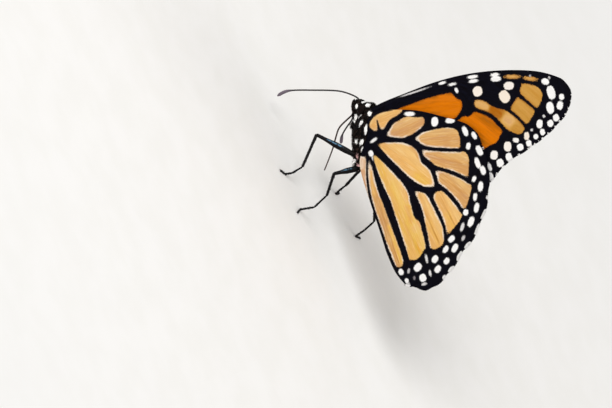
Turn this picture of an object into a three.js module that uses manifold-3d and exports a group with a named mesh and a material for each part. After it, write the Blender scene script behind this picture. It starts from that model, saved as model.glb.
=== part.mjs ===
// A monarch butterfly at life size, standing on its feet with the wings closed over its back.
// Millimetres, +Z up. It faces -X, and its left side is towards -Y.
// While it is built, x, y and z are measured from the point midway between its wing roots.
// At the end the whole group moves so that the feet stand at z = 0, centred on x and y.
import * as THREE from 'three';
import { mergeVertices } from 'three/addons/utils/BufferGeometryUtils.js';
import Module from 'manifold-3d';

const wasm = await Module();
wasm.setup();

// ---- driving dimensions ----------------------------------------------------------------------

const floorZ = -17;              // level of the feet below the wing roots
const gap = 0.12;                // clearance kept between touching pieces

const head = { x: -6.4, z: -0.5, halfLength: 1.75, halfWidth: 1.55, halfHeight: 1.7 };
const eye = { x: -5.9, y: 1.2, z: 0.15, radius: 1.08, flattening: 0.7 };

const thorax = {
  front: -5.0, back: 6.2,        // ends along x
  axisZ: -1.2, tilt: 0.3,        // height of its middle line at x = 0, and its fall per mm of x
  halfWidth: 2.7, halfHeight: 3.3,
  bluntness: 3.0,                // 2 is an ellipsoid, higher is squarer at the ends
};

const abdomen = {
  axis: [[5.0, -3.1], [9, -2.75], [14, -2.5], [19, -2.45], [23.2, -2.9]],   // middle line, x and z
  halfWidth: 1.95, halfHeight: 2.15,
  rings: 8, ringDepth: 0.05,     // the belly segments and how far their joints pull in
};

// Wing outlines seen square on, each edge listed from its first corner to its last, in x and z.
const forewing = {
  costa: [[-4.3, 1.2], [-4.9, 4.6], [-5.0, 9.6], [-4.8, 16.6], [-3.6, 24.5], [-1.4, 32.1],
    [1.7, 39.4], [4.8, 43.8], [6.5, 45.0], [8.1, 45.5]],
  outerMargin: [[8.1, 45.5], [9.5, 45.2], [11.0, 44.2], [12.7, 42.4], [14.7, 37.7], [16.0, 32.1],
    [16.8, 27.0], [18.5, 23.1], [20.6, 18.6]],
  innerMargin: [[-0.8, 0.8], [6, 6.6], [13.4, 12.8], [20.6, 18.6]],
  rootSide: 2.35, tipSide: 0.32, // distance from the middle plane at the root and at the tip
  tuck: [-0.12, -0.3],           // how far the right wing's margin sits behind the left one's, x and z
  spanCells: 22, chordCells: 11,
};
const hindwing = {
  costa: [[-2.5, 1.4], [-3.3, 3.2], [-3.2, 5.4], [-0.8, 11.6], [3.1, 17.4], [6.0, 21.2], [8.7, 22.9]],
  outerMargin: [[8.7, 22.9], [12.2, 23.05], [16.4, 22.6], [20.9, 21.0], [24.6, 18.5], [28.1, 14.8],
    [30.5, 10.7], [33.1, 6.5], [34.5, 1.3], [31.6, -3.5]],
  innerMargin: [[0.8, 0.3], [3.2, -2.2], [6.4, -3.6], [15, -4.0], [20, -4.3], [24.5, -4.7],
    [28.6, -4.5], [31.6, -3.5]],
  rootSide: 3.0, tipSide: 0.93,
  tuck: [-0.34, -0.85],
  spanCells: 20, chordCells: 13,
};
const wingThickness = 0.5;
const foldStart = 1;             // the wings lean together between these heights
const foldEnd = 16;
const tailStart = 12;            // over the abdomen's tail they close the same way along x
const tailEnd = 34;

const feeler = { shaft: 0.27, club: 0.42, clubShare: 0.24 };
const antennaPaths = {           // from the socket beside the eye to the tip of the club
  antenna_l: [[-7.3, -0.7, 0.1], [-8.2, -0.95, 0.1], [-9.7, -1.9, -1.2], [-10.9, -3.2, -2.9],
    [-12.4, -5.1, -6.5], [-14.1, -7.1, -11.2], [-13.9, -8.0, -13.7]],
  antenna_r: [[-7.3, 0.7, 0.1], [-7.9, 1.5, -0.7], [-6.9, 2.4, -2.8], [-5.6, 3.9, -4.8],
    [-4.9, 6.0, -7.6], [-4.3, 8.2, -10.0], [-3.2, 10.0, -11.7]],
};
const palp = { radius: 0.42, path: [[-6.9, 0.5, -1.9], [-7.9, 0.55, -1.6], [-8.65, 0.5, -0.85]] };
const proboscis = {
  radius: 0.27,
  path: [[-6.4, 0, -1.5], [-5.6, 0, -2.6], [-5.05, 0, -4.3], [-4.2, 0, -6.4], [-2.7, 0, -7.8],
    [-0.9, 0, -9.2], [0.9, 0, -10.9], [2.7, 0, -12.7]],
};

// Walking legs: hip, knee, ankle, a point midway along the foot, heel and toe. The last two lie
// on the floor. The fields that follow each length of leg are its half thicknesses.
const walkingLegs = {
  midleg_l: [[2.8, -1.6, -4.3], [-3.7, -5.2, -9.4], [1.9, -8.2, -13.4], [2.5, -8.9, -15.0],
    [2.2, -9.8, floorZ], [1.5, -11.4, floorZ]],
  midleg_r: [[2.8, 1.6, -4.3], [4.2, 6.9, -8.2], [5.4, 9.6, -13.6], [5.6, 10.0, -15.2],
    [5.9, 10.9, floorZ], [5.7, 12.4, floorZ]],
  hindleg_l: [[5.6, -1.4, -4.2], [5.5, -6.2, -8.1], [9.9, -10.2, -9.4], [11.1, -9.7, -12.6],
    [10.0, -8.6, floorZ], [10.7, -10.2, floorZ]],
  hindleg_r: [[5.6, 1.4, -4.2], [9.6, 7.3, -6.6], [14.4, 11.4, -11.0], [15.0, 12.5, -14.2],
    [15.3, 13.3, floorZ], [15.6, 14.9, floorZ]],
};
const legThickness = { hip: 0.5, thigh: 0.64, knee: 0.42, shin: 0.36, ankle: 0.33, foot: 0.27 };
const footLift = 0.13;           // height of the foot's middle line, so that its sole is a small flat

// The small front legs stay folded against the chest, out to the elbow and back to the paw.
const foreleg = {
  radius: 0.3, taper: 0.25,
  path: [[-4.0, 1.5, -0.9], [-3.0, 2.4, -1.2], [-2.1, 2.6, -1.75], [-2.4, 2.35, -2.3],
    [-3.4, 1.8, -2.6], [-4.2, 1.0, -2.85]],
};

// ---- helpers ---------------------------------------------------------------------------------

const smoothstep = (from, to, value) => {
  const t = THREE.MathUtils.clamp((value - from) / (to - from), 0, 1);
  return t * t * (3 - 2 * t);
};

const vector = ([x, y, z]) => new THREE.Vector3(x, y, z);
const mirrored = ([x, y, z]) => [x, -y, z];

// Closed bodies leave here with their points welded, so that they can be cut.
function weld(geometry) {
  geometry.deleteAttribute('normal');
  geometry.deleteAttribute('uv');
  return mergeVertices(geometry, 1e-4);
}

function toSolid(geometry) {
  const welded = weld(geometry);
  return new wasm.Manifold(new wasm.Mesh({
    numProp: 3,
    vertProperties: new Float32Array(welded.attributes.position.array),
    triVerts: new Uint32Array(welded.index.array),
  }));
}

// Cuts the neighbours away and keeps the main piece.
function carve(geometry, neighbours) {
  let solid = toSolid(geometry);
  for (const neighbour of neighbours) solid = solid.subtract(toSolid(neighbour));
  const pieces = solid.decompose().sort((a, b) => b.volume() - a.volume());
  const mesh = pieces[0].getMesh();
  const result = new THREE.BufferGeometry();
  result.setAttribute('position', new THREE.BufferAttribute(mesh.vertProperties, 3));
  result.setIndex(new THREE.BufferAttribute(mesh.triVerts, 1));
  return result;
}

// A closed tube through stations { at, wide, high }, one ring of vertices to a station.
function tube(stations, sides) {
  const geometry = new THREE.CylinderGeometry(1, 1, 1, sides, stations.length - 1);
  const places = stations.map(({ at }) => vector(at));
  const frames = places.map((place, i) => {
    const before = places[Math.max(i - 1, 0)];
    const after = places[Math.min(i + 1, places.length - 1)];
    const along = after.clone().sub(before).normalize();
    const up = new THREE.Vector3(0, 0, 1);
    if (Math.abs(along.z) > 0.9) up.set(1, 0, 0);
    const across = new THREE.Vector3().crossVectors(up, along).normalize();
    return { along, across };
  });
  for (let i = 1; i < frames.length; i++) {          // carry the first frame along without a twist
    const turn = new THREE.Quaternion().setFromUnitVectors(frames[i - 1].along, frames[i].along);
    frames[i].across = frames[i - 1].across.clone().applyQuaternion(turn).normalize();
  }
  const points = geometry.attributes.position;
  for (let i = 0; i < points.count; i++) {
    const ring = Math.round((0.5 - points.getY(i)) * (stations.length - 1));
    const { wide, high } = stations[ring];
    const { along, across } = frames[ring];
    const upward = new THREE.Vector3().crossVectors(along, across);
    const place = places[ring].clone()
      .addScaledVector(across, points.getX(i) * wide)
      .addScaledVector(upward, points.getZ(i) * high);
    points.setXYZ(i, place.x, place.y, place.z);
  }
  return geometry;
}

// Stations along a smooth curve, with the half thickness a function of the share of its length.
function stationsAlong(path, count, halfThickness) {
  const curve = new THREE.CatmullRomCurve3(path.map(vector), false, 'centripetal');
  return Array.from({ length: count + 1 }, (_, i) => {
    const share = i / count;
    const size = halfThickness(share);
    return { at: curve.getPointAt(share).toArray(), wide: size, high: size };
  });
}

// ---- body ------------------------------------------------------------------------------------

function headShape() {
  const geometry = new THREE.SphereGeometry(1, 16, 12);
  geometry.rotateX(Math.PI / 2);
  geometry.scale(head.halfLength, head.halfWidth, head.halfHeight);
  return geometry.translate(head.x, 0, head.z);
}

function eyeShape(side, grow = 0) {
  const radius = eye.radius + grow;
  const geometry = new THREE.SphereGeometry(radius, 14, 10);
  geometry.scale(1, eye.flattening, 1);
  return geometry.translate(eye.x, side * eye.y, eye.z);
}

function thoraxShape(grow = 0) {
  const middle = (thorax.front + thorax.back) / 2;
  const halfLength = (thorax.back - thorax.front) / 2 + grow;
  const ringCount = 14;
  const stations = Array.from({ length: ringCount + 1 }, (_, i) => {
    const along = -Math.cos((i / ringCount) * Math.PI);
    const fullness = (1 - Math.abs(along) ** thorax.bluntness) ** (1 / thorax.bluntness);
    const x = middle + halfLength * along;
    return {
      at: [x, 0, thorax.axisZ - thorax.tilt * x],
      wide: Math.max(fullness, 0.05) * (thorax.halfWidth + grow),
      high: Math.max(fullness, 0.05) * (thorax.halfHeight + grow),
    };
  });
  return tube(stations, 20);
}

function abdomenShape(grow = 0) {
  const curve = new THREE.SplineCurve(abdomen.axis.map(([x, z]) => new THREE.Vector2(x, z)));
  const count = abdomen.rings * 2 + 2;
  const stations = Array.from({ length: count + 1 }, (_, i) => {
    const share = i / count;
    const place = curve.getPointAt(share);
    const taper = Math.sin(Math.PI * Math.min(0.32 + 0.66 * share, 1)) ** 0.55;
    const joint = i % 2 === 1 ? -abdomen.ringDepth : 0;
    return {
      at: [place.x, 0, place.y],
      wide: abdomen.halfWidth * Math.max(taper, 0.15) + joint + grow,
      high: abdomen.halfHeight * Math.max(taper, 0.15) + joint + grow,
    };
  });
  return tube(stations, 16);
}

// ---- wings -----------------------------------------------------------------------------------

// Distance of a wing's middle from the butterfly's middle plane.
function spread(x, z) {            // 1 at the root, 0 where the two sides have come together
  return (1 - smoothstep(foldStart, foldEnd, z)) * (1 - smoothstep(tailStart, tailEnd, x));
}

function wingSide(wing, x, z) {
  return wing.tipSide + (wing.rootSide - wing.tipSide) * spread(x, z);
}

// A thin plate over the patch between the root, the costa, the outer and the inner margin.
function wingShape(wing, side) {
  const curve = (points) => new THREE.SplineCurve(points.map(([x, z]) => new THREE.Vector2(x, z)));
  const costa = curve(wing.costa);
  const inner = curve(wing.innerMargin);
  const outer = curve(wing.outerMargin);
  const corners = [costa.getPoint(0), costa.getPoint(1), inner.getPoint(0), inner.getPoint(1)];
  const geometry = new THREE.BoxGeometry(1, 1, 1, wing.spanCells, wing.chordCells, 1);
  const points = geometry.attributes.position;
  for (let i = 0; i < points.count; i++) {
    const u = points.getX(i) + 0.5;                  // root to outer margin
    const v = points.getY(i) + 0.5;                  // costa to inner margin
    const front = costa.getPointAt(u);
    const rear = inner.getPointAt(u);
    const end = outer.getPointAt(v);
    const root = corners[0].clone().lerp(corners[2], v);
    const place = front.multiplyScalar(1 - v).add(rear.multiplyScalar(v))
      .add(root.multiplyScalar(1 - u)).add(end.multiplyScalar(u))
      .addScaledVector(corners[0], -(1 - u) * (1 - v)).addScaledVector(corners[1], -u * (1 - v))
      .addScaledVector(corners[2], -(1 - u) * v).addScaledVector(corners[3], -u * v);
    const offset = wingSide(wing, place.x, place.y) + side * points.getZ(i) * wingThickness;
    const tucked = side > 0 ? 1 - spread(place.x, place.y) : 0;
    points.setXYZ(i, place.x + tucked * wing.tuck[0], side * offset, place.y + tucked * wing.tuck[1]);
  }
  return geometry;
}

// ---- legs, feelers and mouthparts ------------------------------------------------------------

function legShape(joints) {
  const [hip, knee, ankle, arch, heel, toe] = joints.map(vector);
  heel.z += footLift;
  toe.z += footLift;
  const size = legThickness;
  const bend = 0.35;                                 // how far from a joint its neighbours lie
  const near = (from, to) => from.clone().lerp(to, bend / from.distanceTo(to));
  const stations = [
    [hip, size.hip], [hip.clone().lerp(knee, 0.4), size.thigh], [near(knee, hip), size.knee],
    [knee, size.knee], [near(knee, ankle), size.shin], [near(ankle, knee), size.ankle],
    [ankle, size.ankle], [near(ankle, arch), size.foot], [arch, size.foot],
    [near(heel, arch), size.foot], [heel, size.foot], [toe, size.foot],
  ];
  const geometry = tube(stations.map(([at, half]) => ({ at: at.toArray(), wide: half, high: half })), 8);
  const points = geometry.attributes.position;
  for (let i = 0; i < points.count; i++) points.setZ(i, Math.max(points.getZ(i), floorZ));
  return geometry;
}

function forelegShape(side) {
  const path = side < 0 ? foreleg.path.map(mirrored) : foreleg.path;
  return tube(stationsAlong(path, 9, (share) => foreleg.radius * (1 - foreleg.taper * share)), 6);
}

function antennaShape(path) {
  const halfThickness = (share) => {
    const swell = smoothstep(1 - feeler.clubShare, 1 - feeler.clubShare / 3, share);
    const tip = 1 - 0.45 * smoothstep(0.93, 1, share);
    return (feeler.shaft + (feeler.club - feeler.shaft) * swell) * tip;
  };
  return tube(stationsAlong(path, 18, halfThickness), 6);
}

function palpShape(side) {
  const path = side < 0 ? palp.path.map(mirrored) : palp.path;
  return tube(stationsAlong(path, 6, (share) => palp.radius * (1 - 0.35 * share * share)), 8);
}

function proboscisShape() {
  return tube(stationsAlong(proboscis.path, 18, (share) => proboscis.radius * (1 - 0.06 * share)), 6);
}

// ---- assembly --------------------------------------------------------------------------------

const finish = (color, roughness) => new THREE.MeshStandardMaterial({ color, roughness, metalness: 0 });
const materials = {
  fur: () => finish(0x14110f, 0.9),
  legs: () => finish(0x17161a, 0.45),
  eyes: () => finish(0x150e0c, 0.2),
  feelers: () => finish(0x2a2224, 0.5),
  mouth: () => finish(0x3a1c12, 0.4),
  forewing: () => finish(0xd8822a, 0.75),
  hindwing: () => finish(0xe8b878, 0.75),
};

const butterfly = new THREE.Group();

function addPart(name, geometry, material) {
  const mesh = new THREE.Mesh(geometry, material);
  mesh.name = name;
  butterfly.add(mesh);
}

addPart('thorax', thoraxShape(), materials.fur());
addPart('abdomen', carve(abdomenShape(), [thoraxShape(gap)]), materials.fur());
addPart('head', carve(headShape(), [thoraxShape(gap), eyeShape(-1, gap), eyeShape(1, gap)]), materials.fur());
addPart('proboscis', carve(proboscisShape(), [grownHead(), thoraxShape(gap)]), materials.mouth());

for (const [suffix, side] of [['l', -1], ['r', 1]]) {
  const bodyWalls = [thoraxShape(gap), abdomenShape(gap)];
  addPart(`eye_${suffix}`, carve(eyeShape(side), [thoraxShape(gap)]), materials.eyes());
  addPart(`palp_${suffix}`, carve(palpShape(side), [grownHead()]), materials.fur());
  addPart(`antenna_${suffix}`, carve(antennaShape(antennaPaths[`antenna_${suffix}`]),
    [grownHead(), eyeShape(side, gap)]), materials.feelers());
  addPart(`foreleg_${suffix}`, carve(forelegShape(side), [thoraxShape(gap), grownHead()]), materials.legs());
  addPart(`midleg_${suffix}`, carve(legShape(walkingLegs[`midleg_${suffix}`]), bodyWalls), materials.legs());
  addPart(`hindleg_${suffix}`, carve(legShape(walkingLegs[`hindleg_${suffix}`]), bodyWalls), materials.legs());
  addPart(`forewing_${suffix}`, carve(wingShape(forewing, side), bodyWalls), materials.forewing());
  addPart(`hindwing_${suffix}`, carve(wingShape(hindwing, side), bodyWalls), materials.hindwing());
}

function grownHead() {
  const geometry = headShape();
  const share = 1 + gap / head.halfLength;
  return geometry.translate(-head.x, 0, -head.z).scale(share, share, share).translate(head.x, 0, head.z);
}

const box = new THREE.Box3().setFromObject(butterfly);
const centre = box.getCenter(new THREE.Vector3());
butterfly.position.set(-centre.x, -centre.y, -floorZ);

export default butterfly;
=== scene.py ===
# Monarch butterfly, life size, standing with its wings closed
import math
import bpy
import numpy as np
from mathutils import Matrix, Vector


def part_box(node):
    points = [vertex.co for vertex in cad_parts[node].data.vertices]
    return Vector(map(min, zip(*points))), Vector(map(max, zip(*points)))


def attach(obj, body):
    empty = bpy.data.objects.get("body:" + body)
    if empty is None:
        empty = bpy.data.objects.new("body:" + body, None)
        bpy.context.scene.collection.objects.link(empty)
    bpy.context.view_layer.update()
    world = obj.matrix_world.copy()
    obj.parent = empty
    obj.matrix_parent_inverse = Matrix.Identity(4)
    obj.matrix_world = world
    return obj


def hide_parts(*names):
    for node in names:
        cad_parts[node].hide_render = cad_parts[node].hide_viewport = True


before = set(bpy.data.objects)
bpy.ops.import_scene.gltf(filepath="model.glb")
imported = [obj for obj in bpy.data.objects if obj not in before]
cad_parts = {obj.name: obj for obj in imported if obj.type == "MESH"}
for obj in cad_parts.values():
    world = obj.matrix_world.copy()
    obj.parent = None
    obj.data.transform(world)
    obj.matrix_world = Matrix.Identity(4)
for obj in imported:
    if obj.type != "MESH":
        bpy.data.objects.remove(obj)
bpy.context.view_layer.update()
scene = bpy.context.scene
scene.view_settings.view_transform = "Standard"

# Shapes are worked out in millimetres from the point midway between the wing roots,
# x towards the tail, z up, the left side at negative y. The thorax node places that point.
mm = 0.001
thoraxMiddle = np.array([0.6, 0.0, -1.38])
low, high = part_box("thorax")
origin = (np.array(low) + np.array(high)) / 2 - thoraxMiddle * mm
floorLevel = -origin[2] / mm
rng = np.random.default_rng(11)
sides = (("l", -1), ("r", 1))  # ending of the names on each side, and its sign along y
far = 9.0  # more than any distance that the marks need


def toWorld(points):
    return np.asarray(points, float) * mm + origin


view = {
    "azimuth": 12, "elevation": 24, "roll": 19,  # degrees
    "aim": (8.81, -5.66, -16.54),
    "lens": 900, "sensor": 36, "distance": 3.1445,  # a long lens, metres away
}


def addCamera(look):
    turn, rise = math.radians(look["azimuth"]), math.radians(look["elevation"])
    back = Vector((math.sin(turn) * math.cos(rise), -math.cos(turn) * math.cos(rise), math.sin(rise)))
    ahead = Vector((-1, 0, 0))
    ahead = (ahead - ahead.dot(back) * back).normalized()
    lean = math.radians(look["roll"])
    up = ahead * math.cos(lean) - back.cross(ahead) * math.sin(lean)
    data = bpy.data.cameras.new("camera")
    data.lens, data.sensor_width = look["lens"], look["sensor"]
    data.clip_start, data.clip_end = 0.01, 40
    camera = bpy.data.objects.new("camera", data)
    scene.collection.objects.link(camera)
    place = Vector(toWorld(look["aim"])) + back * look["distance"]
    turned = Matrix((up.cross(back), up, back)).transposed().to_4x4()
    camera.matrix_world = Matrix.Translation(place) @ turned
    scene.camera = camera


addCamera(view)
print("camera placed")


def smoothStep(start, end, value):
    t = np.clip((np.asarray(value, float) - start) / (end - start), 0, 1)
    return t * t * (3 - 2 * t)


def smoothMin(a, b, reach):
    h = np.maximum(reach - np.abs(a - b), 0) / reach
    return np.minimum(a, b) - h * h * reach / 4


def unit(vectors):
    return vectors / np.linalg.norm(vectors, axis=-1, keepdims=True)


def travelled(points):  # length along the curve up to each of its points
    return np.r_[0, np.cumsum(np.linalg.norm(np.diff(points, axis=0), axis=1))]


def sample(values, at, grid):  # the columns of values, read off between the places in grid
    return np.stack([np.interp(at, grid, column) for column in np.transpose(values)], -1)


def splineCurve(points, count=64):  # smooth curve through the points, evenly spaced
    p = np.array(points, float)
    last = len(p) - 1
    t = np.linspace(0, last, 24 * last + 1)
    k = np.minimum(t.astype(int), last - 1)
    w = (t - k)[:, None]
    before, after = p[np.maximum(k - 1, 0)], p[np.minimum(k + 2, last)]
    a, b = p[k], p[k + 1]
    v0, v1 = (b - before) / 2, (after - a) / 2
    fine = (2 * a - 2 * b + v0 + v1) * w**3 + (3 * b - 3 * a - 2 * v0 - v1) * w**2 + v0 * w + a
    length = travelled(fine)
    return sample(fine, np.linspace(0, length[-1], count), length)


def nearCurve(places, curve):  # distance, share along the curve and side of each place
    curve = np.asarray(curve, float)
    best = np.full(len(places), 1e9)
    share, side = np.zeros(len(places)), np.zeros(len(places))
    steps = len(curve) - 1
    for i in range(steps):
        d = curve[i + 1] - curve[i]
        rel = places - curve[i]
        t = np.clip(rel @ d / (d @ d), 0, 1)
        gap = np.hypot(rel[:, 0] - t * d[0], rel[:, 1] - t * d[1])
        closer = gap < best
        best[closer] = gap[closer]
        share[closer] = ((i + t) / steps)[closer]
        side[closer] = np.sign(d[0] * rel[:, 1] - d[1] * rel[:, 0])[closer]
    return best, share, side


# A shape holds points, four-sided and three-sided faces, and a number per point for each mark.
def shape(points, quads=(), tris=(), **marks):
    points = np.asarray(points, float).reshape(-1, 3)
    return {
        "points": points,
        "quads": np.asarray(quads, np.int64).reshape(-1, 4),
        "tris": np.asarray(tris, np.int64).reshape(-1, 3),
        "marks": {key: np.zeros(len(points)) + value for key, value in marks.items()},
    }


def join(shapes):
    names = sorted({key for s in shapes for key in s["marks"]})
    starts = np.cumsum([0] + [len(s["points"]) for s in shapes])
    made = {key: np.concatenate([s[key] + start for s, start in zip(shapes, starts)])
            for key in ("quads", "tris")}
    made["points"] = np.concatenate([s["points"] for s in shapes])
    made["marks"] = {key: np.concatenate([s["marks"].get(key, np.zeros(len(s["points"]))) for s in shapes])
                     for key in names}
    return made


def makeMesh(name, places, made):
    mesh = bpy.data.meshes.new(name)
    mesh.vertices.add(len(places))
    mesh.vertices.foreach_set("co", places.astype(np.float32).ravel())
    quads, tris = made["quads"], made["tris"]
    corners = np.r_[quads.ravel(), tris.ravel()].astype(np.int32)
    mesh.loops.add(len(corners))
    mesh.loops.foreach_set("vertex_index", corners)
    mesh.polygons.add(len(quads) + len(tris))
    starts = np.r_[np.arange(len(quads)) * 4, len(quads) * 4 + np.arange(len(tris)) * 3]
    mesh.polygons.foreach_set("loop_start", starts.astype(np.int32))
    mesh.update(calc_edges=True)
    mesh.validate()
    mesh.shade_smooth()
    for key, values in made["marks"].items():
        mesh.attributes.new(key, "FLOAT", "POINT").data.foreach_set("value", values.astype(np.float32))
    if "bakeMap" in made:
        chart = mesh.uv_layers.new(name="OFBake").data
        chart.foreach_set("uv", made["bakeMap"].astype(np.float32).ravel())
    return mesh


def addPiece(name, made, material, replaced=()):
    piece = bpy.data.objects.new(name, makeMesh(name, toWorld(made["points"]), made))
    scene.collection.objects.link(piece)
    piece.data.materials.append(material)
    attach(piece, "root")
    if replaced:
        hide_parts(*replaced)
    print("made", name, len(made["quads"]) * 2 + len(made["tris"]), "triangles")
    return piece


def gridFaces(rows, columns, perRow):  # faces between rows of points, a closed ring where columns = perRow
    i, j = np.meshgrid(np.arange(rows), np.arange(columns), indexing="ij")
    k = (j + 1) % perRow
    here, above = i * perRow, (i + 1) * perRow
    return np.stack([here + j, here + k, above + k, above + j], -1).reshape(-1, 4)


def tube(path, radii, around=12):  # closed tube, its ends rounded by the radii given
    path = np.asarray(path, float)
    count = len(path)
    along = unit(np.gradient(path, axis=0))
    across = np.cross(along[0], (0, 0, 1) if abs(along[0][2]) < 0.9 else (1, 0, 0))
    angles = np.arange(around)[:, None] * 2 * math.pi / around
    spokes = []
    for heading in along:
        across = unit(across - across @ heading * heading)
        spokes.append(np.cos(angles) * across + np.sin(angles) * np.cross(heading, across))
    spokes = np.array(spokes)
    rings = path[:, None] + np.broadcast_to(radii, count)[:, None, None] * spokes
    end = (count - 1) * around
    turns = [(a, (a + 1) % around) for a in range(around)]
    tris = [[count * around, b, a] for a, b in turns]
    tris += [[count * around + 1, end + a, end + b] for a, b in turns]
    share = np.r_[np.repeat(np.arange(count) / (count - 1), around), 0, 1]
    made = shape(np.concatenate([rings.reshape(-1, 3), path[:1], path[-1:]]),
                 gridFaces(count - 1, around, around), tris, share=share)
    made["outward"] = np.concatenate([spokes.reshape(-1, 3), -along[:1], along[-1:]])
    return made


def ball(middle, size, rows=24, around=36):
    x = np.sin(np.linspace(-1, 1, rows + 1) * math.pi / 2)
    made = tube(np.stack([x, 0 * x, 0 * x], 1), np.sqrt(np.maximum(1 - x**2, 1e-6)), around)
    made["points"] = made["points"] * size + middle
    return made


# layout of the bake maps, as shares of the whole: margin, space the wings fill, strip for their rims
bake = {"margin": 0.02, "fill": 0.94, "strip": 0.004, "blade": 0.0015, "tuft": 0.003}
bakeSquare = np.array([[0, 0], [1, 0], [1, 1], [0, 1]])


def seatMap(seats, quads, tris, square):  # every blade's faces baked into a small square at its seat
    return np.concatenate([(np.repeat(seats, count, axis=0)[:, None] + square[:corners]).reshape(-1, 2)
                           for count, corners in ((quads, 4), (tris, 3))])


def tone(code):  # colour written as hex, turned into the linear value that shaders take
    parts = [int(code[i:i + 2], 16) / 255 for i in (1, 3, 5)]
    return [v / 12.92 if v < 0.04045 else ((v + 0.055) / 1.055) ** 2.4 for v in parts] + [1]


def plug(tree, node, inputs):  # sockets are linked to what drives them or set to a value
    for key, value in inputs.items():
        if isinstance(value, bpy.types.NodeSocket):
            tree.links.new(value, node.inputs[key])
        else:
            node.inputs[key].default_value = value


def addNode(tree, kind, inputs=None, **settings):
    made = tree.nodes.new("ShaderNode" + kind)
    for key, value in settings.items():
        setattr(made, key, value)
    plug(tree, made, inputs or {})
    return made


def mark(tree, name):
    return addNode(tree, "Attribute", attribute_name=name).outputs["Fac"]


def sums(tree, operation, a, b=0.0):
    return addNode(tree, "Math", {0: a, 1: b}, operation=operation).outputs[0]


def times(tree, a, b, plus=0.0):
    return addNode(tree, "Math", {0: a, 1: b, 2: plus}, operation="MULTIPLY_ADD").outputs[0]


def ramp(tree, value, start, end, low=0.0, high=1.0):
    return addNode(tree, "MapRange", {0: value, 1: start, 2: end, 3: low, 4: high},
                   interpolation_type="SMOOTHSTEP").outputs[0]


def blend(tree, share, a, b):
    return addNode(tree, "Mix", {0: share, 6: a, 7: b}, data_type="RGBA").outputs[2]


def relief(tree, height, strength, depth, **settings):  # depth in millimetres
    return addNode(tree, "Bump", {"Height": height, "Strength": strength, "Distance": depth * mm},
                   **settings).outputs[0]


def newMaterial(name):
    material = bpy.data.materials.new(name)
    material.use_nodes = True
    return material, material.node_tree, material.node_tree.nodes["Principled BSDF"]


def newGroup(name, inputs, outputs):
    group = bpy.data.node_groups.new(name, "ShaderNodeTree")
    for key, value in inputs.items():
        socket = group.interface.new_socket(name=key, in_out="INPUT", socket_type="NodeSocketFloat")
        socket.default_value = value
    for key in outputs:
        group.interface.new_socket(name=key, in_out="OUTPUT", socket_type="NodeSocketFloat")
    return group, group.nodes.new("NodeGroupInput").outputs, group.nodes.new("NodeGroupOutput")


def useGroup(tree, group, **inputs):
    return addNode(tree, "Group", inputs, node_tree=group).outputs


def stretched(group, given):  # the place counted in lengths and widths of the pattern
    return addNode(group, "CombineXYZ", {
        0: sums(group, "DIVIDE", given["Across"], given["Wide"]),
        1: sums(group, "DIVIDE", given["Along"], given["Long"])}).outputs[0]


def makeScaleGroup():  # overlapping scales in rows: a ragged value per scale and their height
    group, given, result = newGroup("scaleRows", {"Along": 0.0, "Across": 0.0, "Long": 0.17, "Wide": 0.1},
                                    ["Ragged", "Height"])
    cells = addNode(group, "TexVoronoi", {
        "Vector": stretched(group, given), "Scale": 1.0, "Randomness": 0.6}, voronoi_dimensions="2D")
    split = addNode(group, "SeparateColor", {0: cells.outputs["Color"]})
    plug(group, result, {"Ragged": times(group, split.outputs[0], 2.0, -1.0),
                         "Height": sums(group, "SUBTRACT", 1.0, cells.outputs["Distance"])})
    return group


def makeStreakGroup():  # long soft streaks that run with the veins
    group, given, result = newGroup("streaks", {"Along": 0.0, "Across": 0.0, "Long": 6.0, "Wide": 0.5},
                                    ["Value"])
    noise = addNode(group, "TexNoise", {"Vector": stretched(group, given), "Scale": 1.0, "Detail": 3.0,
                                        "Roughness": 0.55})
    plug(group, result, {"Value": times(group, noise.outputs["Fac"], 2.0, -1.0)})
    return group


def makeGrainGroup():  # dust and pores, so many to a metre
    group, given, result = newGroup("grain", {"Scale": 5000.0, "Detail": 3.0}, ["Value"])
    noise = addNode(group, "TexNoise", {"Vector": addNode(group, "TexCoord").outputs["Object"],
                                        "Scale": given["Scale"], "Detail": given["Detail"]})
    plug(group, result, {"Value": noise.outputs["Fac"]})
    return group


scaleRows = makeScaleGroup()
streaks = makeStreakGroup()
grain = makeGrainGroup()
print("shader groups built")


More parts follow.
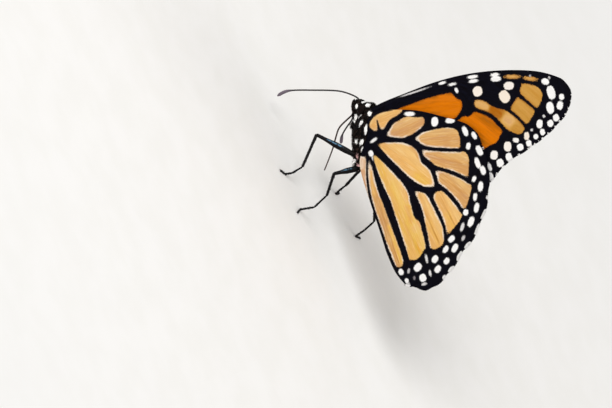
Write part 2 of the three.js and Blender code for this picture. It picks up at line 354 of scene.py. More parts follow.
hindwing = {
    # outline: front edge and inner edge from the root outwards, outer margin between their ends
    "costa": [[-2.5, 1.4], [-3.3, 3.2], [-3.2, 5.4], [-0.8, 11.6], [3.1, 17.4], [6.0, 21.2], [8.7, 22.9]],
    "outer": [[8.7, 22.9], [12.2, 23.05], [16.4, 22.6], [20.9, 21.0], [24.6, 18.5], [28.1, 14.8],
              [30.5, 10.7], [33.1, 6.5], [34.5, 1.3], [31.6, -3.5]],
    "inner": [[0.8, 0.3], [3.2, -2.2], [6.4, -3.6], [15, -4.0], [20, -4.3], [24.5, -4.7], [28.6, -4.5],
              [31.6, -3.5]],
    "rootSide": 3.0, "tipSide": 0.93,  # distance from the middle plane
    "tuck": (-0.34, 0, -0.85),  # how far the right wing sits behind the left one
    "rows": 160, "columns": 180,
    "merge": 4,  # how abruptly one shade gives way to the next
    "corner": 1.1,  # rounding where black markings meet
    "veinEnds": [0.4, 4.7, 9.8, 15.8, 23.0, 29.7, 34.4, 38.4, 42.6],  # along the outer margin
    "scallop": 0.16, "fringe": 0.5, "fringePale": 0.0,  # waves, length of the scales, share of pale ones
    # veins: path from the root outwards, half widths of the black along it
    "veins": {
        "costal": ([[-2.3, 1.0], [-3.2, 3.0], [-3.2, 5.0], [-2.5, 7.2]], 0.8, 0.45, 0.06),
        "humeralSpur": ([[1.6, 3.0], [-0.2, 3.3], [-1.7, 3.55]], 0.5, 0.14),
        "root": ([[-1.6, 0.4], [0.4, 1.7], [1.5, 2.8]], 0.7, 0.4),
        "rootFur": ([[0.6, 0.2], [2.0, -0.6], [3.3, -1.9]], 1.0, 0.75),
        "subcosta": ([[1.8, 2.8], [0.8, 4.7], [-0.3, 6.2], [-0.6, 7.8], [-0.9, 9.2]], 0.58, 0.6),
        "radialStem": ([[0.9, 0.8], [1.6, 2.0], [2.6, 3.9], [3.7, 6.3], [4.8, 8.8]], 1.0, 0.72, 0.5, 0.48),
        "radius": ([[4.4, 8.4], [4.0, 10.2], [3.6, 12.0], [3.8, 13.9], [4.3, 16.3], [5.5, 19.0]],
                   0.5, 0.46),
        "discEnd": ([[4.9, 8.6], [6.2, 9.4], [7.8, 9.8], [9.4, 9.9], [11.1, 10.8], [13.3, 11.0],
                     [16.0, 10.8]], 0.45, 0.46),
        "median1": ([[5.9, 9.6], [7.5, 11.4], [8.9, 14.1], [10.6, 18.0]], 0.44, 0.38),
        "median2": ([[9.9, 10.1], [11.7, 11.5], [13.8, 14.2], [15.9, 16.5], [17.5, 17.8]], 0.4, 0.44),
        "median3": ([[16.1, 9.9], [16.3, 11.4], [17.8, 12.4], [20.2, 13.4], [22.4, 14.0]], 0.48, 0.46),
        "cubitalStem": ([[1.0, 0.2], [2.7, 0.6], [4.8, 1.65], [8.6, 3.5], [12.2, 5.2], [14.4, 6.9],
                         [16.2, 9.1]], 1.0, 1.0, 0.8, 0.84, 0.88, 0.78, 0.52),
        "cubitus1": ([[15.9, 8.8], [17.7, 8.8], [19.7, 9.0], [21.9, 9.2], [24.1, 9.2], [26.3, 8.7]],
                     0.5, 0.34),
        "cubitus2": ([[13.0, 5.3], [15.6, 5.3], [18.1, 5.3], [21.1, 5.25], [24.2, 4.8], [27.7, 4.1]],
                     0.65, 0.6, 0.42),
        "scentPouch": ([[16.6, 5.2], [18.4, 5.1], [19.6, 4.9]], 0.6, 0.8, 0.88),
        "anal2": ([[2.4, 0.2], [4.1, -0.3], [5.4, -0.45], [6.7, -0.5], [9.6, -0.65], [12.4, -0.6],
                   [15.0, -0.45], [18.4, -0.6], [21.8, -0.8], [25.4, -1.0], [28.4, -1.4]],
                  0.4, 0.46, 0.5, 0.7, 0.87, 0.93, 0.87, 0.8, 0.74, 0.7, 0.66),
        "anal3": ([[3.0, -0.6], [4.5, -1.2], [6.3, -1.95], [8.6, -2.75], [11.4, -3.4], [14.5, -3.75],
                   [18.7, -3.95], [23.6, -4.3], [28.3, -4.3]], 0.22, 0.38, 0.42),
    },
    # inner edge of the black border, from the costa round to the inner margin
    "border": [[-3.2, 9.2], [-0.6, 9.6], [0.6, 11.2], [1.2, 12.7], [2.2, 12.7], [3.6, 12.2], [4.2, 14.6],
               [4.9, 17.4], [6.0, 18.7], [8.0, 18.9], [10.3, 18.4], [12.5, 19.3], [16.4, 17.9],
               [18.2, 18.0], [21.8, 15.3], [24.2, 12.6], [25.4, 10.2], [26.6, 8.5], [27.4, 7.0],
               [27.4, 5.0], [26.8, 3.4], [27.8, 1.6], [27.7, -0.4], [27.9, -2.2], [28.2, -5.5]],
    # pale spots: middle, half length, half width, turn, greyness if any (below 0: creamy)
    "spots": [
        (-0.5, 10.3, 1.15, 0.5, 70), (3.0, 14.8, 1.05, 0.8, -20), (4.1, 18.1, 1.15, 0.58, 70),
        (7.4, 20.5, 1.15, 0.62, 5), (9.0, 22.1, 0.9, 0.53, 10), (10.5, 20.1, 0.8, 0.55, -35),
        (12.3, 22.1, 1.2, 0.68, 8), (14.5, 20.8, 1.25, 0.6, 0), (16.4, 21.4, 1.0, 0.65, 0),
        (17.3, 18.9, 0.7, 0.5, -45), (19.3, 19.7, 1.1, 0.62, -30), (20.8, 17.8, 0.9, 0.5, -30, 0.1),
        (23.0, 17.3, 1.1, 0.6, -35), (23.0, 14.7, 0.7, 0.6, -30), (25.2, 15.1, 1.2, 0.67, -45),
        (25.5, 12.9, 1.0, 0.43, -40, 0.35), (27.7, 12.3, 0.7, 0.38, -50, 0.5), (26.9, 9.8, 0.9, 0.62, -65),
        (28.9, 9.8, 1.02, 0.65, -55), (28.4, 7.8, 0.9, 0.55, -60, 0.1), (30.7, 7.1, 0.8, 0.62, -62),
        (29.4, 4.8, 0.9, 0.68, -62), (28.6, 3.1, 1.0, 0.35, -10, 0.35), (31.5, 4.6, 0.92, 0.67, -62),
        (31.6, 2.7, 0.75, 0.34, -10, 0.35), (29.5, 0.6, 1.05, 0.78, -68),
        (29.4, -1.6, 0.6, 0.33, -35, 0.5), (29.0, -3.3, 0.7, 0.6, 0), (31.9, 0.8, 0.85, 0.82, 0),
        (31.1, -2.8, 0.55, 0.5, 0, 0.1), (31.2, -1.0, 0.5, 0.3, -30, 0.8),
        (33.2, 0.6, 0.3, 0.75, -10, 0.4), (27.1, 16.2, 1.3, 0.5, -50, 0.1),
        (29.65, 12.6, 1.0, 0.55, -52, 0.1), (30.8, 10.25, 1.0, 0.5, -60, 0.1),
        (32.7, 7.4, 0.85, 0.48, -60, 0.05), (33.6, 5.4, 0.45, 0.45, -75, 0.15),
        (24.9, 18.4, 1.05, 0.42, -45, 0.2), (21.7, 20.75, 0.9, 0.4, -34, 0.15),
        (31.9, -2.8, 0.4, 0.5, 10, 0.5), (4.1, -0.15, 0.68, 0.6, 0), (5.0, -0.15, 0.7, 0.17, -5, 0.25),
        (1.8, 1.4, 1.0, 0.36, 101),
    ],
    # cells: two ends of the middle line, how deep the orange is, and the strength of the painted shade in
    # the crease
    "cells": [
        ([-1.5, 3.5], [-1.6, 8.0], 0.02, 0.1), ([2.0, 5.0], [2.0, 12.5], -0.18, 0.2),
        ([5.5, 11.0], [7.8, 18.5], -0.1, 0.3), ([8.8, 11.0], [14.0, 18.5], -0.12, 0.5),
        ([12.4, 11.6], [20.0, 16.0], -0.1, 0.6), ([3.0, 2.6], [14.5, 10.0], 0.09, 0),
        ([17.5, 10.5], [24.5, 11.5], 0.06, 1), ([15.0, 6.2], [27.0, 7.0], 0.04, 1),
        ([5.5, 0.8], [27.0, 2.0], 0.2, 0.4), ([5.0, -1.3], [27.0, -3.0], -0.1, 0.7),
        ([3.0, -2.2], [6.0, -3.2], -0.34, 0), ([7.0, -3.4], [15.0, -4.2], -0.22, 0),
    ],
    # stretches of cell without a cream rim: two ends, reach
    "rimless": [
        ([-1.8, 2.5], [-1.6, 9.0], 2.2), ([4.5, 0.3], [8.5, 1.2], 1.0),
        ([20.5, 4.2], [25.5, 3.6], 0.8), ([14.0, -1.6], [26.0, -2.0], 0.45),
        ([2.5, 2.0], [4.5, 3.2], 1.0), ([16.5, 10.2], [18.0, 11.2], 0.8),
        ([10.5, 11.3], [14.0, 14.0], 0.6), ([1.5, 12.0], [3.5, 9.0], 0.8),
    ],
    # patches of a deeper or a paler shade: two ends, strength, reach
    "glows": [
        ([12.6, 7.4], [14.2, 8.8], 0.2, 1.0), ([17.6, 3.5], [20.4, 3.0], 0.42, 0.8),
        ([12.0, 2.4], [17.0, 2.9], 0.12, 0.9), ([23.5, 3.2], [26.5, 2.6], 0.24, 0.9),
        ([19.5, -1.9], [27.0, -2.4], 0.46, 0.42), ([7.0, -1.7], [12.0, -2.4], 0.2, 0.5),
        ([22.0, 11.0], [25.0, 11.0], 0.14, 0.9), ([22.0, 6.6], [26.5, 6.6], 0.14, 0.9),
        ([4.5, 5.5], [8.0, 8.0], 0.06, 1.0), ([5.0, 0.6], [9.0, 1.0], 0.06, 0.6),
    ],
    "patches": [],
    "rim": 0.9, "bloomAndFoldLight": 0.5, "creaseShade": 0.6,  # strength of the rims, of the pale streaks and the painted light beside the creases, and of the painted shade in the creases
    "spotEdge": 0.15,  # softness of the spots
    "rimTone": "#F0E7DA", "streak": "#BF7D38", "scale": "#B4722E",
    # colour of the cells by depth of orange
    "paint": [(0.0, "#F3DEC4"), (0.07, "#D8A98A"), (0.13, "#CB976A"), (0.19, "#D19C60"), (0.26, "#DDA863"),
              (0.34, "#E8B268"), (0.43, "#E8B65C"), (0.5, "#E8B850"), (0.6, "#E5A33A"), (0.8, "#CE7A1C"),
              (0.93, "#D27000")],
}

forewing = {
    "costa": [[-4.3, 1.2], [-4.9, 4.6], [-5.0, 9.6], [-4.8, 16.6], [-3.6, 24.5], [-1.4, 32.1],
              [1.7, 39.4], [4.8, 43.8], [6.5, 45.0], [8.1, 45.5]],
    "outer": [[8.1, 45.5], [9.5, 45.2], [11.0, 44.2], [12.7, 42.4], [14.7, 37.7], [16.0, 32.1],
              [16.8, 27.0], [18.5, 23.1], [20.6, 18.6]],
    "inner": [[-0.8, 0.8], [6, 6.6], [13.4, 12.8], [20.6, 18.6]],
    "rootSide": 2.35, "tipSide": 0.32, "tuck": (-0.12, 0, -0.3), "merge": 2.6,
    "rows": 180, "columns": 140,
    "corner": 0.9,
    "veinEnds": [0.5, 3.2, 6.3, 9.9, 13.6, 17.6, 22.0, 26.5, 31.0],
    "scallop": 0.07, "fringe": 0.3, "fringePale": 0.06,
    "veins": {
        "costal": ([[-4.0, 1.0], [-4.1, 5.0], [-4.2, 10.0], [-4.0, 15.5], [-3.0, 21.5]], 1.65, 1.9),
        "disc": ([[-0.4, 22.7], [0.8, 23.2], [2.2, 22.9], [3.5, 22.3]], 1.75, 1.25),
        "discEnd": ([[4.4, 17.0], [4.2, 19.5], [3.5, 21.3], [3.2, 22.9]], 0.22, 0.7),
        "shade": ([[-1.2, 22.0], [-0.2, 26.0], [1.4, 29.4], [3.2, 31.6]], 1.6, 2.0),
        "shadeEnd": ([[2.2, 28.0], [3.6, 29.3], [4.6, 31.0]], 1.3, 0.95),
        "subcosta": ([[-2.2, 23.0], [-0.4, 30.0], [1.6, 35.5], [4.4, 40.3], [7.0, 42.0]], 0.85, 1.2),
        "median2": ([[2.9, 33.6], [4.6, 34.1], [6.6, 35.3], [8.8, 36.6], [10.8, 37.5]], 0.55, 0.32, 0.25),
        "postDisc": ([[1.4, 25.0], [2.7, 27.3], [4.7, 29.0], [5.6, 30.0]], 0.75, 0.75, 0.6),
        "postSpot": ([[3.0, 34.6], [4.9, 32.9], [5.9, 31.7]], 0.8, 0.55),
        "median3": ([[3.8, 28.2], [5.6, 30.2], [7.4, 31.3], [9.2, 32.4], [11.1, 33.3], [12.8, 34.2]],
                    0.8, 0.35, 0.3),
        "cubitus1": ([[3.4, 23.2], [4.5, 24.6], [6.4, 26.7], [8.4, 27.8], [10.6, 28.8], [13.0, 30.6]],
                     0.35, 0.48, 0.4),
        "cubitus2": ([[2.0, 8.0], [6.0, 14.0], [11.0, 19.5], [15.0, 23.0]], 0.4, 0.4),
        "anal2": ([[1.5, 3.0], [7.0, 9.5], [13.0, 15.0], [19.0, 19.5]], 0.35, 0.35),
    },
    "border": [[-3.4, 20.0], [-0.6, 31.0], [1.0, 34.6], [3.6, 38.0], [5.7, 39.2], [7.6, 38.8], [9.1, 37.0],
               [10.5, 35.0], [11.6, 33.3], [12.5, 31.8], [11.5, 29.6], [10.7, 27.9], [11.7, 26.6],
               [12.1, 25.4], [12.3, 22.9], [14.0, 19.5], [15.0, 12.0]],
    "spots": [
        (-3.9, 19.0, 0.9, 0.34, 80), (-2.8, 21.0, 1.05, 0.32, 80), (-1.3, 21.4, 0.68, 0.4, 10),
        (-2.5, 25.8, 1.3, 0.4, 75), (-1.6, 25.7, 1.15, 0.38, 75), (-1.0, 30.7, 1.1, 0.4, 72),
        (-0.1, 30.6, 1.25, 0.58, 72), (0.7, 25.8, 1.1, 1.1, 0, -0.36), (2.3, 32.8, 1.22, 0.86, 70, -0.3),
        (4.0, 31.1, 1.4, 1.17, 20, -0.42), (2.2, 38.0, 0.3, 0.3, 0, 0.6), (4.2, 41.9, 0.35, 0.3, 0, 0.5),
        (4.6, 40.8, 0.9, 0.68, 60), (7.2, 41.2, 1.5, 0.95, -5), (10.0, 39.9, 1.3, 0.87, -10),
        (8.9, 43.1, 0.7, 0.6, -15), (10.4, 42.1, 0.9, 0.75, -30), (12.4, 40.4, 0.77, 0.75, 0),
        (11.1, 38.0, 0.36, 0.34, 0, 0.4), (12.2, 36.5, 0.95, 0.72, -30), (13.0, 38.8, 0.77, 0.72, 0),
        (14.0, 36.5, 0.7, 0.6, 0), (12.7, 34.4, 0.35, 0.33, 0, 0.4), (13.4, 32.9, 0.85, 0.64, -20, -0.4),
        (14.3, 34.8, 0.6, 0.56, 0), (13.3, 30.3, 0.75, 0.53, 60, -0.2), (15.0, 32.8, 0.67, 0.66, 0),
        (13.8, 28.1, 1.07, 0.88, -20, -0.3), (15.0, 30.7, 0.76, 0.76, 0),
        (14.3, 24.6, 0.97, 0.88, -30, -0.2), (15.9, 27.6, 0.87, 0.76, 0), (16.3, 25.3, 0.87, 0.84, 0),
        (16.2, 22.8, 1.0, 0.45, 0, 0.15), (18.0, 22.1, 0.85, 0.85, 0), (-4.45, 12.6, 3.4, 0.22, 86, 0.4),
    ],
    # narrow ochre patches along the costa: middle, half length, half width, turn
    "patches": [(0.9, 34.3, 1.75, 0.42, 68), (2.8, 37.9, 1.55, 0.42, 60)],
    "cells": [
        ([-2.5, 9.0], [1.5, 20.8], 0.95, 0.3), ([0.5, 9.0], [3.5, 20.8], 0.95, 0.2),
        ([5.2, 22.0], [11.5, 26.5], 0.93, 0.5), ([6.0, 10.0], [13.0, 20.0], 0.93, 0.4),
        ([4.9, 24.0], [10.4, 27.7], 0.9, 0), ([3.0, 24.8], [4.4, 26.5], 0.12, 0),
        ([5.2, 27.5], [7.0, 28.8], 0.79, 0), ([8.4, 29.7], [9.2, 30.3], -0.05, 0),
        ([11.0, 31.0], [12.0, 31.8], 0.5, 0), ([5.2, 32.4], [10.5, 35.0], 0.42, 0.3),
        ([3.6, 35.6], [8.0, 38.4], 0.4, 0.3), ([0.0, 33.0], [3.6, 39.0], 0.22, 0),
    ],
    "glows": [([-3.2, 9.0], [-2.2, 16.0], -0.1, 1.3), ([6.0, 25.2], [10.0, 28.0], -0.04, 0.5)],
    "rimless": [],
    "rim": 0.5, "bloomAndFoldLight": 0.02, "creaseShade": 0.4, "spotEdge": 0.14,
    "rimTone": "#8E4606", "streak": "#A85C08", "scale": "#B26410",
    "paint": [(0.04, "#C89470"), (0.3, "#DDAE6C"), (0.42, "#D4A258"), (0.56, "#C69240"), (0.8, "#A85E06"),
              (0.88, "#D87200"), (0.98, "#E07A00")],
}

wingMake = {
    "foldStart": 1, "foldEnd": 16, "tailStart": 12, "tailEnd": 34,  # where the two sides lean together
    "half": 0.075, "edgeHalf": 0.03,  # half thickness of the membrane and of its margin
    "veinRise": 0.09, "veinReach": 0.22,  # how far a vein stands up and how wide it is
    "pleat": 0.07, "pleatReach": 0.9,  # how far the cells bulge between their veins
    "creaseDip": 0.6, "creaseReach": 0.35,  # share of the bulge lost in the crease of a cell
    "span": 30, "rimWidth": 1.2,  # rough width of a wing, and of the stretch that thins towards its rim
    "fan": 22,  # millimetres to one radian round the wing root, for streaks and scales
    "laneGap": 9.0,  # how far the streaks of one cell are from those of the next
    "marginFade": (4, 2),  # lengths over which the waves of the margin set in and die away
    "marginInset": 0.35,  # how far the margin draws back, as a share of the fringe
    "bladeStep": 0.045, "bladeHalf": 0.04, "bladeThick": 0.02, "bladeRoot": 0.12,  # scales of the fringe
    "paleAt": (0.28, 0.72),  # where the fringe may be pale, as shares of the way from vein to vein
    "paleReach": 0.95, "darkReach": 0.7,  # lengths of its pale and dark scales, as shares of the fringe
    "stray": 0.1, "ruffle": 0.03,  # how unevenly the scales of the fringe point and stand
    "spotPower": 2.4,  # spots are rounder ovals at 2, squarer above it
    "black": "#050306", "blackSheen": "#0C0D1B", "white": "#F3F1EF", "whiteShade": "#CFC9C4",
    # the lit colour is painted light beside the creases of the cells, the crease line colour is painted
    # shade in them
    "dim": "#6D6469", "creamy": "#E6C28C", "lit": "#F2D08C", "creaseShadeTone": "#A8641F",
    "paleStreak": "#F7DFA8",
}


def spreadShare(x, z):  # 1 where the wings stand furthest apart, 0 where they lean together
    m = wingMake
    below = 1 - smoothStep(m["foldStart"], m["foldEnd"], z)
    return below * (1 - smoothStep(m["tailStart"], m["tailEnd"], x))


def wingSide(look, x, z):
    return look["tipSide"] + (look["rootSide"] - look["tipSide"]) * spreadShare(x, z)


def spotDepth(spots, places):  # depth inside the nearest spot, less than 0 outside, and its dimness
    depth, dim = np.full(len(places), -far), np.zeros(len(places))
    power = wingMake["spotPower"]
    for x, z, long, wide, turn, *grey in spots:
        c, s = math.cos(math.radians(turn)), math.sin(math.radians(turn))
        rel = places - (x, z)
        a = np.abs(rel[:, 0] * c + rel[:, 1] * s) / long
        b = np.abs(rel[:, 1] * c - rel[:, 0] * s) / wide
        inside = (1 - (a**power + b**power) ** (1 / power)) * min(long, wide)
        better = inside > depth
        depth[better] = inside[better]
        dim[better] = grey[0] if grey else 0
    return depth, dim


def wingMarks(look, places):  # marks for the paint, and the distance from the nearest vein
    count = len(places)
    offVein, ridge, fold = np.full((3, count), far)  # distances from the black, the veins and the creases
    for name, (path, *halves) in look["veins"].items():
        away, share, _ = nearCurve(places, splineCurve(path, 36))
        half = np.interp(share, np.linspace(0, 1, len(halves)), halves)
        offVein = smoothMin(offVein, away - half, look["corner"])
        if not name.startswith("shade"):
            ridge = np.minimum(ridge, away)
    away, _, side = nearCurve(places, splineCurve(look["border"], 110))
    clear = smoothMin(offVein, -away * side, look["corner"])
    pale, dim = spotDepth(look["spots"], places)
    patch, _ = spotDepth(look["patches"], places)
    total, warm, run, lane = np.zeros((4, count))
    for k, (start, end, depth, creaseShade) in enumerate(look["cells"]):
        away, share, side = nearCurve(places, (start, end))
        closer = away < np.abs(fold)
        fold[closer], run[closer] = (away * side)[closer], (share * creaseShade)[closer]
        lane[closer] = wingMake["laneGap"] * k
        weight = 1 / (away ** look["merge"] + 0.02)
        total += weight
        warm += weight * depth
    warm /= total
    for start, end, amount, reach in look["glows"]:
        warm += amount * np.exp(-(nearCurve(places, (start, end))[0] / reach) ** 2)
    rimmed = np.ones(count)
    for start, end, reach in look["rimless"]:
        rimmed -= 0.9 * np.exp(-(nearCurve(places, (start, end))[0] / reach) ** 4)
    return {"clear": np.maximum(clear, patch), "offVein": np.maximum(offVein, patch), "pale": pale,
            "dim": dim, "warm": warm, "rimmed": np.maximum(rimmed, 0), "fold": fold, "run": run,
            "lane": fold + lane}, ridge


def wingPatch(look):  # the wing square on, row by row from the root to the outer margin
    m = wingMake
    rows, columns = look["rows"], look["columns"]
    costa, inner = splineCurve(look["costa"], rows + 1), splineCurve(look["inner"], rows + 1)
    outer = splineCurve(look["outer"], 400)
    length = travelled(outer)
    heading = unit(np.gradient(outer, axis=0))
    outward = np.stack([-heading[:, 1], heading[:, 0]], 1)
    ends = np.array(look["veinEnds"])
    cell = np.clip(np.searchsorted(ends, length) - 1, 0, len(ends) - 2)
    phase = (length - ends[cell]) / (ends[cell + 1] - ends[cell])
    first, last = m["marginFade"]
    fade = smoothStep(0, first, length) * (1 - smoothStep(length[-1] - last, length[-1], length))
    shift = (look["scallop"] * np.cos(phase * 2 * math.pi) - look["fringe"] * m["marginInset"]) * fade
    pick = np.linspace(0, len(outer) - 1, columns + 1)
    end = sample(outer + outward * shift[:, None], pick, np.arange(len(outer)))
    u = np.linspace(0, 1, rows + 1)[:, None, None]
    v = np.linspace(0, 1, columns + 1)[None, :, None]
    a, b, c, d = costa[0], costa[-1], inner[0], inner[-1]
    flat = (1 - v) * costa[:, None] + v * inner[:, None] + (1 - u) * (a + (c - a) * v) + u * end[None]
    flat = flat - ((1 - u) * (1 - v) * a + u * (1 - v) * b + (1 - u) * v * c + u * v * d)
    nearest = np.round(pick).astype(int)
    return flat.reshape(-1, 2), {"end": end, "outward": outward[nearest], "phase": phase[nearest]}


def makeBlades(look, side, margin):  # fringe of scales, white beside the white spots of the margin
    m = wingMake
    shapes, seats = [], []
    length = travelled(margin["end"])
    toSpot = spotDepth(look["spots"], margin["end"])[0]
    count = int(length[-1] / m["bladeStep"])
    for k in range(count):
        at = (k + rng.random()) / count * length[-1]
        place = sample(margin["end"], at, length)
        facing = sample(margin["outward"], at, length)
        share = np.interp(at, length, margin["phase"])
        near = min(abs(share - spot) for spot in m["paleAt"])
        white = near < look["fringePale"] * rng.uniform(0.4, 1.4)
        white = white or np.interp(at, length, toSpot) > rng.uniform(-0.12, -0.05)
        reach = look["fringe"] * m["paleReach" if white else "darkReach"]
        reach *= rng.uniform(0.8, 1.1) * smoothStep(-1, 3, at)
        facing = facing + rng.normal(0, m["stray"], 2)
        beside = np.array([-facing[1], facing[0]]) * m["bladeHalf"]
        y = side * (wingSide(look, *place) + rng.uniform(-m["ruffle"], m["ruffle"]))
        root, bend = place - facing * m["bladeRoot"], place + facing * reach * 0.7
        ring = [root + beside, root - beside, bend - beside * 0.8, bend + beside * 0.8]
        points = [[p[0], y + t, p[1]] for t in (-m["bladeThick"], m["bladeThick"]) for p in ring]
        tip = place + facing * reach
        points.append([tip[0], y, tip[1]])
        quads = [[0, 1, 2, 3], [7, 6, 5, 4], [0, 4, 5, 1], [1, 5, 6, 2], [3, 7, 4, 0]]
        tris = [[2, 8, 3], [7, 8, 6], [2, 6, 8], [8, 7, 3]]
        shapes.append(shape(points, quads, tris, pale=0.4 if white else -1, dim=0.15, under=1, clear=-1,
                            offVein=-1, warm=0, along=at, across=0, fold=far, run=0, lane=at, rimmed=0))
        seats.append(place)
    return shapes, np.array(seats)


def makeWing(look, side):
    m = wingMake
    rows, columns = look["rows"], look["columns"]
    places, margin = wingPatch(look)
    count = len(places)
    marks, ridge = wingMarks(look, places)
    u = np.repeat(np.linspace(0, 1, rows + 1), columns + 1)
    v = np.tile(np.linspace(0, 1, columns + 1), rows + 1)
    toEdge = np.minimum(np.minimum(1 - u, v), 1 - v) * m["span"]
    half = m["edgeHalf"] + (m["half"] - m["edgeHalf"]) * smoothStep(0, m["rimWidth"], toEdge)
    dip = 1 - m["creaseDip"] * np.exp(-(marks["fold"] / m["creaseReach"]) ** 2)
    bulge = m["pleat"] * (1 - np.exp(-(ridge / m["pleatReach"]) ** 2)) * dip
    rise = m["veinRise"] * np.exp(-(ridge / m["veinReach"]) ** 2)
    keep = smoothStep(0, 1.0, toEdge)
    rel = places - places[: columns + 1].mean(0)
    marks["along"] = np.hypot(rel[:, 0], rel[:, 1])
    marks["across"] = np.arctan2(rel[:, 1], rel[:, 0]) * m["fan"]
    shapes = []
    for under, sign in ((1, 1), (0, -1)):  # the face that shows when the wings are closed, and the other
        offset = wingSide(look, places[:, 0], places[:, 1]) + sign * (half + rise * keep) - bulge * keep
        points = np.stack([places[:, 0], side * offset, places[:, 1]], 1)
        quads = gridFaces(rows, columns, columns + 1)
        shapes.append(shape(points, quads[:, ::-1] if sign * side > 0 else quads, under=under, **marks))
    made = join(shapes)
    rim = np.r_[np.arange(columns + 1), np.arange(1, rows + 1) * (columns + 1) + columns,
                rows * (columns + 1) + np.arange(columns - 1, -1, -1),
                np.arange(rows - 1, 0, -1) * (columns + 1)]
    following = np.roll(rim, -1)
    edge = np.stack([rim, following, following + count, rim + count], 1)
    # bake map: the two faces beside each other, the rim as a thin strip along the first one
    corner, span = places.min(0), np.ptp(places, axis=0)
    stack = 0 if span[0] < span[1] else 1
    size = bake["fill"] / max(span[stack] * 2 + 1, span[1 - stack])
    chart = (places - corner) * size + bake["margin"]
    second = chart.copy()
    second[:, stack] += (span[stack] + 1) * size
    step = chart[following] - chart[rim]
    out = np.stack([step[:, 1], -step[:, 0]], 1)
    out *= bake["strip"] / np.maximum(np.linalg.norm(out, axis=1), 1e-9)[:, None]
    strip = np.stack([chart[rim], chart[following], chart[following] + out, chart[rim] + out], 1)
    if side < 0:
        edge, strip = edge[:, ::-1], strip[:, ::-1]
    bakeMap = [np.concatenate([chart, second])[made["quads"].ravel()], strip.reshape(-1, 2)]
    made["quads"] = np.concatenate([made["quads"], edge])
    blades, seats = makeBlades(look, side, margin)
    made = join([made, join(blades)])
    if side > 0:  # the right wings sit a little behind the left ones
        apart = spreadShare(made["points"][:, 0], made["points"][:, 2])
        made["points"] += (1 - apart)[:, None] * look["tuck"]
    bakeMap.append(seatMap((seats - corner) * size + bake["margin"], 5, 4, bakeSquare * bake["blade"]))
    made["bakeMap"] = np.concatenate(bakeMap)
    return made


def wingMaterial(name, look):
    material, tree, surface = newMaterial(name)
    m = {key: tone(value) for key, value in {**wingMake, **look}.items() if str(value).startswith("#")}
    along, across, lane = mark(tree, "along"), mark(tree, "across"), mark(tree, "lane")
    under, fold = mark(tree, "under"), mark(tree, "fold")
    rows = useGroup(tree, scaleRows, Along=along, Across=across, Long=0.17, Wide=0.1)
    ragged = rows["Ragged"]
    soft = useGroup(tree, streaks, Along=along, Across=lane, Long=6.0, Wide=0.9)["Value"]
    broad = useGroup(tree, streaks, Along=along, Across=across, Long=3.2, Wide=2.6)["Value"]
    fine = useGroup(tree, streaks, Along=along, Across=lane, Long=3.5, Wide=0.24)["Value"]
    warmth = times(tree, soft, 0.22, mark(tree, "warm"))
    warmth = times(tree, under, -0.75, sums(tree, "ADD", warmth, 0.75))  # deeper on the upper side
    warmth = addNode(tree, "MapRange", {0: warmth, 1: -0.4, 2: 1.1}).outputs[0]
    paint = addNode(tree, "ValToRGB", {0: warmth})
    stops = paint.color_ramp.elements
    for place, colour in look["paint"]:
        stops.new(place).color = tone(colour)
    stops.remove(stops[0])
    stops.remove(stops[-1])
    # painted light on one side of each crease, a line of painted shade in it
    lit = ramp(tree, soft, -0.5, 0.5, look["bloomAndFoldLight"] * 0.4, look["bloomAndFoldLight"])
    colour = blend(tree, times(tree, ramp(tree, fold, 0.1, 1.3), lit), paint.outputs[0], m["lit"])
    creaseShade = times(tree, ramp(tree, sums(tree, "ABSOLUTE", fold), 0.02, 0.3, 1, 0),
                   ramp(tree, mark(tree, "run"), 0.1, 0.8, 0, look["creaseShade"]))
    creaseShade = times(tree, creaseShade, ramp(tree, soft, -0.4, 0.3, 0.3, 1))
    colour = blend(tree, creaseShade, colour, m["creaseShadeTone"])
    colour = blend(tree, ramp(tree, fine, 0.0, 0.8, 0, 0.42), colour, m["streak"])
    colour = blend(tree, ramp(tree, fine, 0.0, -0.5, 0, look["bloomAndFoldLight"]), colour, m["paleStreak"])
    colour = blend(tree, ramp(tree, ragged, -1, 1, 0, 0.1), colour, m["scale"])
    # rim of the cells, along the black of the veins
    edge = times(tree, ragged, 0.09, times(tree, broad, -0.3, mark(tree, "offVein")))
    rim = times(tree, ramp(tree, edge, 0.04, 0.38, look["rim"], 0), under)
    rim = times(tree, rim, times(tree, mark(tree, "rimmed"), ramp(tree, broad, -0.45, 0.1, 0.35, 1)))
    rim = times(tree, rim, ramp(tree, fine, -0.8, 0.8, 1, 0.6))
    colour = blend(tree, rim, colour, m["rimTone"])
    clear = times(tree, ragged, 0.1, mark(tree, "clear"))
    black = blend(tree, ramp(tree, fine, -0.5, 0.8), m["black"], m["blackSheen"])
    colour = blend(tree, ramp(tree, clear, -0.07, 0.07, 1, 0), colour, black)
    pale, dim = times(tree, ragged, 0.06, mark(tree, "pale")), mark(tree, "dim")
    white = blend(tree, ramp(tree, dim, 0, 1), m["white"], m["dim"])
    white = blend(tree, ramp(tree, dim, 0, -1), white, m["creamy"])
    white = blend(tree, ramp(tree, fine, 0.1, 0.9, 0, 0.25), white, m["whiteShade"])
    colour = blend(tree, ramp(tree, pale, -0.04, look["spotEdge"]), colour, white)
    plug(tree, surface, {
        "Base Color": colour, "Roughness": ramp(tree, rows["Height"], 0.2, 1.0, 0.9, 0.7),
        "Specular IOR Level": 0.05,
        "Normal": relief(tree, times(tree, fine, 0.5, rows["Height"]), 0.35, 0.04)})
    return material


def addWings():
    for name, look in (("forewing", forewing), ("hindwing", hindwing)):
        material = wingMaterial(name + "Scales", look)
        for suffix, side in sides:
            node = f"{name}_{suffix}"
            addPiece(node + "_membrane", makeWing(look, side), material, [node])


addWings()


